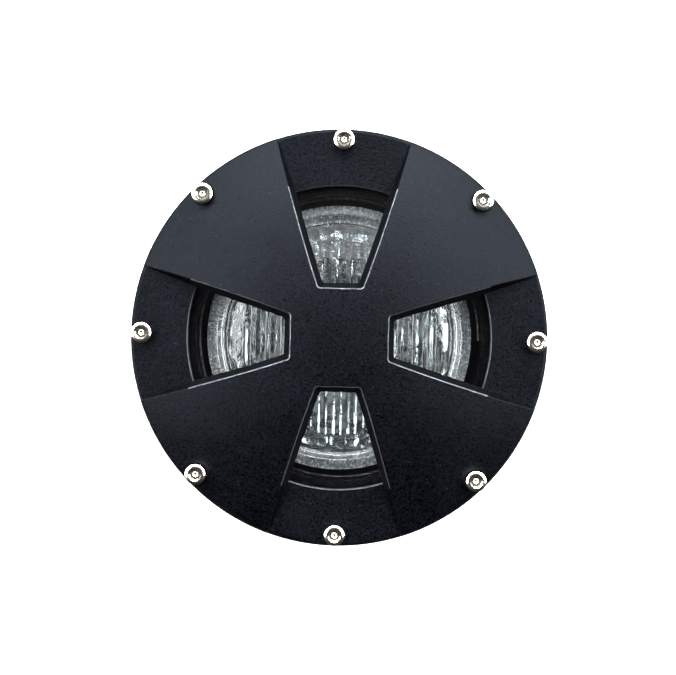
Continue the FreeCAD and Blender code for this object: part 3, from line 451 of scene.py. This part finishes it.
# Lamp glass
# Front of the sealed lamp, pressed in one piece, with a smooth crowned face. Its inside
# has upright flutes, finer and stippled above the break, then a circle of small pillows
# and plain rings.
FLUTE_PITCH = 6.4 * MM
FLUTE_WIDTH = 3.6 * MM
FLUTE_DEEP = 0.9 * MM
PILLOW_DEEP = 0.8 * MM
FIELD = 42 * MM
PILLOWS = 48 * MM
STIPPLE = 49 * MM
BREAK = 34 * MM
GLASS_STEPS = 480
FACE_RINGS = 14
UNDER_RINGS = 104
crown_radius = lamp_radius - 8 * MM
rim_high = lamp_glass_low + 4 * MM
crown_rise = lamp_glass_high - rim_high
sphere = (crown_radius ** 2 + crown_rise ** 2) / 2 / crown_rise


def crown(radius, rim):
    """Height of the crowned face at a radius, over the height of its rim."""
    return rim + math.sqrt(sphere ** 2 - radius ** 2) - (sphere - crown_rise)


face = []
for i in range(FACE_RINGS + 1):
    r = crown_radius * i / FACE_RINGS
    face.append((r, crown(r, rim_high)))
# From the crowned face over the rim to the seal: radius, and height above the rim's foot.
rings = [(49.4, 4.0), (49.7, 4.1), (50.2, 4.15), (50.5, 3.95), (50.8, 3.95), (51.1, 4.15),
         (51.8, 4.2), (52.4, 4.1), (52.7, 3.85), (52.9, 3.7), (53.1, 3.7), (53.3, 3.9),
         (53.6, 4.0), (54.1, 3.95), (55.2, 3.72), (56.3, 3.48), (56.9, 3.3), (57.15, 3.0),
         (57.15, 1.2), (56.95, 0.95), (53.5, 1.68), (52.9, 1.35), (51.4, 1.25), (50.9, 0.9),
         (49.3, 0.9)]
outline = face + [(r * MM, lamp_glass_low + z * MM) for r, z in rings]
for i in range(UNDER_RINGS + 1):
    r = crown_radius * (1 - i / UNDER_RINGS)
    outline.append((r, crown(r, lamp_glass_low)))
lamp_glass = spun("pressed_lamp_glass", outline, GLASS_STEPS)


def bump_across(x, pitch, width):
    """Rise of a round rib, from 0 to 1, where ribs repeat along a line."""
    from_rib = abs((x / pitch + 0.5) % 1.0 - 0.5) * pitch
    if from_rib >= width / 2:
        return 0.0
    return math.sqrt(1.0 - (2 * from_rib / width) ** 2)


for vertex in lamp_glass.data.vertices:
    x, y, z = vertex.co
    r = math.hypot(x, y)
    under = r < crown_radius - 0.2 * MM and z < crown(r, lamp_glass_low) + 1 * MM
    if not under:
        continue
    if r < FIELD and y < BREAK:
        vertex.co.z -= FLUTE_DEEP * bump_across(x, FLUTE_PITCH, FLUTE_WIDTH)
    elif r < FIELD:
        vertex.co.z -= 0.5 * FLUTE_DEEP * bump_across(x, FLUTE_PITCH / 2, 0.4 * FLUTE_PITCH)
    elif r < PILLOWS:
        across = math.sin(math.pi * (r - FIELD) / (PILLOWS - FIELD))
        pillow = bump_across(x, FLUTE_PITCH, 0.8 * FLUTE_PITCH)
        vertex.co.z -= PILLOW_DEEP * across * pillow
smooth(lamp_glass, 50)
pressed, tree, shader = clear_glass("pressed_glass", (0.93, 0.98, 1.0), roughness=0.02, ior=1.50)
ripple(tree, shader, scale=380.0, depth=0.00004)
finish(lamp_glass, pressed, "head", "lamp_glass", "lamp_glass")
stippled, tree, shader = clear_glass("stippled_glass", (0.93, 0.98, 1.0), roughness=0.26, ior=1.50)
ripple(tree, shader, scale=500.0, depth=0.0004)
lamp_glass.data.materials.append(stippled)
for polygon in lamp_glass.data.polygons:
    x, y, z = polygon.center
    r = math.hypot(x, y)
    under = z < crown(min(r, crown_radius), lamp_glass_low) + 0.2 * MM
    if under and y > BREAK and r < STIPPLE:
        polygon.material_index = 1

# Gasket and front glass
# A clear tempered disc in a moulded black channel, which seals it between the housing
# and the cover.
paint("lens_gasket", rubber)
clear, tree, shader = clear_glass("front_glass", (0.99, 0.99, 0.99), roughness=0.0, ior=1.40)
ripple(tree, shader, scale=40.0, depth=0.00002)
paint("glass_lens", clear)

# Grille cover
# One aluminium casting, blasted and powder coated in a fine black texture. The lips of the
# windows get a lighter, metallic colour as a painted highlight, and their walls a near-black, dull
# colour as painted shade.
WINDOW_REACH = 66 * MM
LIP_LOW = 0.42
LIP_HIGH = 0.93


def window_masks():
    """Masks, by how steep a face is near the windows: their rounded lips and their walls."""
    group = bpy.data.node_groups.new("window_masks", "ShaderNodeTree")
    for name in ("Reach", "Lip Low", "Lip High"):
        group.interface.new_socket(name, in_out="INPUT", socket_type="NodeSocketFloat")
    for name in ("Lip", "Wall"):
        group.interface.new_socket(name, in_out="OUTPUT", socket_type="NodeSocketFloat")
    nodes = group.nodes
    link = group.links.new
    given = nodes.new("NodeGroupInput").outputs
    result = nodes.new("NodeGroupOutput").inputs

    def value(operation, *terms):
        node = nodes.new("ShaderNodeMath")
        node.operation = operation
        for socket, term in zip(node.inputs, terms):
            link(term, socket)
        return node.outputs[0]

    facing = nodes.new("ShaderNodeVectorTransform")
    facing.vector_type = "NORMAL"
    facing.convert_from = "WORLD"
    facing.convert_to = "OBJECT"
    link(nodes.new("ShaderNodeNewGeometry").outputs["True Normal"], facing.inputs[0])
    normal = nodes.new("ShaderNodeSeparateXYZ")
    link(facing.outputs[0], normal.inputs[0])
    place = nodes.new("ShaderNodeSeparateXYZ")
    link(nodes.new("ShaderNodeTexCoord").outputs["Object"], place.inputs[0])
    square_x = value("MULTIPLY", place.outputs["X"], place.outputs["X"])
    square_y = value("MULTIPLY", place.outputs["Y"], place.outputs["Y"])
    radius = value("SQRT", value("ADD", square_x, square_y))
    near = value("LESS_THAN", radius, given["Reach"])
    above = value("GREATER_THAN", normal.outputs["Z"], given["Lip Low"])
    below = value("LESS_THAN", normal.outputs["Z"], given["Lip High"])
    steep = value("LESS_THAN", value("ABSOLUTE", normal.outputs["Z"]), given["Lip Low"])
    link(value("MULTIPLY", near, value("MULTIPLY", above, below)), result["Lip"])
    link(value("MULTIPLY", near, steep), result["Wall"])
    return group


def blend(tree, shader, socket, mask, there):
    """Give one socket another value wherever a mask says so."""
    mix = tree.nodes.new("ShaderNodeMix")
    mix.data_type = "RGBA" if socket == "Base Color" else "FLOAT"
    target = shader.inputs[socket]
    mix.inputs["A"].default_value = target.default_value
    mix.inputs["B"].default_value = there
    if target.links:
        tree.links.new(target.links[0].from_socket, mix.inputs["A"])
    tree.links.new(mask, mix.inputs["Factor"])
    tree.links.new(mix.outputs["Result"], target)


cover_coat, tree, shader = powder_coat("cover_coat")
masks = tree.nodes.new("ShaderNodeGroup")
masks.node_tree = window_masks()
masks.inputs["Reach"].default_value = WINDOW_REACH
masks.inputs["Lip Low"].default_value = LIP_LOW
masks.inputs["Lip High"].default_value = LIP_HIGH
# Painted highlight: a lighter, metallic, glossier colour on the rounded lips of the windows.
PAINTED_HIGHLIGHT_COLOUR = (0.11, 0.12, 0.135, 1.0)
# Painted shade: a near-black, dull colour on the steep walls of the windows.
PAINTED_SHADE_COLOUR = (0.0005, 0.0005, 0.0007, 1.0)
blend(tree, shader, "Base Color", masks.outputs["Lip"], PAINTED_HIGHLIGHT_COLOUR)
blend(tree, shader, "Roughness", masks.outputs["Lip"], 0.30)
blend(tree, shader, "Metallic", masks.outputs["Lip"], 0.9)
blend(tree, shader, "Base Color", masks.outputs["Wall"], PAINTED_SHADE_COLOUR)
blend(tree, shader, "Roughness", masks.outputs["Wall"], 0.95)
paint("grille_cover", cover_coat)

# Cover screws
# Eight stainless socket-head screws: a forged head with a knurled side, a rolled bevel
# round its top and a broached hexagon socket with a drilled floor.
HEAD_RADIUS = 4.15 * MM
HEAD_HIGH = 5.0 * MM
BEVEL_WIDE = 0.8 * MM
BEVEL_DEEP = 0.4 * MM
KNURL_DEEP = 0.1 * MM
SHANK_RADIUS = 2.4 * MM
SHANK_LONG = 13.5 * MM
TIP_CHAMFER = 0.4 * MM
SOCKET_RADIUS = 2.31 * MM
SOCKET_DEEP = 2.5 * MM
SCREW_COUNT = 8
SCREW_CIRCLE = 82.5 * MM
ARM_STEP = 1.6 * MM


def select_faces(piece, wanted):
    """In object mode, select the faces that the test wants and nothing else."""
    mesh = piece.data
    for item in (*mesh.vertices, *mesh.edges, *mesh.polygons):
        item.select = False
    for polygon in mesh.polygons:
        polygon.select = wanted(polygon)


def cut(piece, cutter):
    """Take one solid out of another and drop the cutter."""
    boolean = piece.modifiers.new("cut", "BOOLEAN")
    boolean.object = cutter
    boolean.operation = "DIFFERENCE"
    boolean.solver = "EXACT"
    bpy.ops.object.select_all(action="DESELECT")
    bpy.context.view_layer.objects.active = piece
    piece.select_set(True)
    bpy.ops.object.modifier_apply(modifier=boolean.name)
    bpy.data.objects.remove(cutter)


bpy.ops.object.select_all(action="DESELECT")
bpy.ops.mesh.primitive_cylinder_add(vertices=72, radius=HEAD_RADIUS, depth=HEAD_HIGH,
                                    location=(0.0, 0.0, HEAD_HIGH / 2))
screw = bpy.context.object
screw.name = "cover_screw"
bpy.ops.object.transform_apply(location=True)
select_faces(screw, lambda f: f.normal.z > 0.9)
bpy.ops.object.mode_set(mode="EDIT")
bpy.ops.mesh.select_mode(type="FACE")
bpy.ops.mesh.inset(thickness=BEVEL_WIDE, depth=0.0)
bpy.ops.mesh.inset(thickness=0.12 * MM, depth=0.0)
bpy.ops.object.mode_set(mode="OBJECT")
for vertex in screw.data.vertices:
    if vertex.co.z > HEAD_HIGH - 0.01 * MM and vertex.co.xy.length > HEAD_RADIUS - 0.1 * MM:
        vertex.co.z -= BEVEL_DEEP
select_faces(screw, lambda f: f.normal.z < -0.9)
bpy.ops.object.mode_set(mode="EDIT")
bpy.ops.mesh.inset(thickness=HEAD_RADIUS - SHANK_RADIUS, depth=0.0)
bpy.ops.mesh.extrude_region_move(TRANSFORM_OT_translate={"value": (0.0, 0.0, -SHANK_LONG)})
bpy.ops.mesh.inset(thickness=TIP_CHAMFER, depth=TIP_CHAMFER)
bpy.ops.object.mode_set(mode="OBJECT")
select_faces(screw, lambda f: abs(f.normal.z) < 0.1 and f.center.z > 1 * MM and f.index % 2)
bpy.ops.object.mode_set(mode="EDIT")
bpy.ops.mesh.inset(use_individual=True, thickness=0.04 * MM, depth=KNURL_DEEP)
bpy.ops.object.mode_set(mode="OBJECT")
bpy.ops.mesh.primitive_cylinder_add(vertices=6, radius=SOCKET_RADIUS, depth=2 * SOCKET_DEEP,
                                    location=(0.0, 0.0, HEAD_HIGH))
cut(screw, bpy.context.object)
bpy.ops.mesh.primitive_cone_add(vertices=48, radius1=1.6 * MM, radius2=3.8 * MM,
                                depth=1.5 * MM, location=(0.0, 0.0, HEAD_HIGH))
cut(screw, bpy.context.object)
bpy.ops.mesh.primitive_cone_add(vertices=48, radius1=0.0, radius2=2.2 * MM, depth=1.6 * MM,
                                location=(0.0, 0.0, HEAD_HIGH - 2.6 * MM))
cut(screw, bpy.context.object)
smooth(screw, 32)
screw_steel, tree, shader = surface("screw_steel", (0.68, 0.65, 0.57), roughness=0.17, metallic=1.0)
add_grain(tree, shader, scale=1800.0, contrast=0.15, depth=0.000002, spread=0.05)
flange_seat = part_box("cover_screws")[1].z - ARM_STEP - HEAD_HIGH
turns = random.Random(5)
for i in range(SCREW_COUNT):
    angle = 2 * math.pi * i / SCREW_COUNT
    seat = flange_seat + (ARM_STEP if i % 2 else 0.0)
    copy = bpy.data.objects.new(f"cover_screw_{i + 1}", screw.data.copy())
    bpy.context.scene.collection.objects.link(copy)
    spot = (SCREW_CIRCLE * math.cos(angle), SCREW_CIRCLE * math.sin(angle), seat)
    turned = Matrix.Rotation(turns.uniform(0.0, math.pi / 3), 4, "Z")
    copy.data.transform(Matrix.Translation(spot) @ turned)
    finish(copy, screw_steel, "head", "stainless", "cover_screws")
bpy.data.objects.remove(screw)

# Floor
# A plain pale studio floor. It glows a little, so that it stays pale right up to the
# base plate.
FLOOR_SIZE = 8.0
bpy.ops.mesh.primitive_plane_add(size=FLOOR_SIZE, location=(0.0, 0.0, 0.0))
floor = bpy.context.object
floor.name = "floor"
white, tree, shader = surface("pale_floor", (0.85, 0.85, 0.85), roughness=0.9)
shader.inputs["Emission Color"].default_value = (1.0, 1.0, 1.0, 1.0)
shader.inputs["Emission Strength"].default_value = 0.95
floor.data.materials.append(white)

# Lights
# One wide softbox beyond the top of the face, one at each side, and a plain room that
# is brighter on the softbox side.
face_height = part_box("grille_cover")[1].z


def softbox(name, place, size, power):
    """A rectangular soft light at a place in metres, aimed at the face, with its watts."""
    lamp = bpy.data.lights.new(name, "AREA")
    lamp.shape = "RECTANGLE"
    lamp.size, lamp.size_y = size
    lamp.energy = power
    holder = bpy.data.objects.new(name, lamp)
    bpy.context.scene.collection.objects.link(holder)
    holder.location = place
    aim = Vector((0.0, 0.0, face_height)) - Vector(place)
    holder.rotation_euler = aim.to_track_quat("-Z", "Y").to_euler()


softbox("top_softbox", (0.0, 0.88, 1.0), (1.7, 0.7), 78.0)
softbox("left_softbox", (-0.80, 0.10, 0.95), (0.7, 0.8), 28.0)
softbox("right_softbox", (0.80, 0.20, 0.95), (0.7, 0.8), 28.0)
ROOM_DIM = 0.03
ROOM_BRIGHT = 0.60
BACKDROP = 0.9
world = bpy.data.worlds.new("studio")
world.use_nodes = True
tree = world.node_tree
room = tree.nodes["Background"]
direction = tree.nodes.new("ShaderNodeTexCoord")
parts = tree.nodes.new("ShaderNodeSeparateXYZ")
tree.links.new(direction.outputs["Generated"], parts.inputs["Vector"])
fade = tree.nodes.new("ShaderNodeMapRange")
fade.inputs["From Min"].default_value = 0.0
fade.inputs["From Max"].default_value = 0.60
fade.inputs["To Min"].default_value = ROOM_DIM
fade.inputs["To Max"].default_value = ROOM_BRIGHT
tree.links.new(parts.outputs["Y"], fade.inputs["Value"])
rays = tree.nodes.new("ShaderNodeLightPath")
backdrop = tree.nodes.new("ShaderNodeMix")
backdrop.inputs["B"].default_value = BACKDROP
tree.links.new(rays.outputs["Is Camera Ray"], backdrop.inputs["Factor"])
tree.links.new(fade.outputs["Result"], backdrop.inputs["A"])
tree.links.new(backdrop.outputs["Result"], room.inputs["Strength"])
room.inputs["Color"].default_value = (0.95, 0.98, 1.0, 1.0)
bpy.context.scene.world = world
bpy.context.scene.view_settings.view_transform = "Standard"

# Camera
# Straight down on the face, turned a little, and far enough for the whole rim to show.
CAMERA_DISTANCE = 0.62
FRAME_WIDTH = 0.283
CAMERA_ASIDE = -0.0005
CAMERA_TURN = 1.45
RIM_ABOVE_HOUSING = 0.005
lens = bpy.data.cameras.new("camera")
lens.angle = 2 * math.atan(FRAME_WIDTH / 2 / CAMERA_DISTANCE)
camera = bpy.data.objects.new("camera", lens)
bpy.context.scene.collection.objects.link(camera)
flange_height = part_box("housing")[1].z + RIM_ABOVE_HOUSING
camera.location = (CAMERA_ASIDE, 0.0, flange_height + CAMERA_DISTANCE)
camera.rotation_euler = (0.0, 0.0, math.radians(CAMERA_TURN))
bpy.context.scene.camera = camera
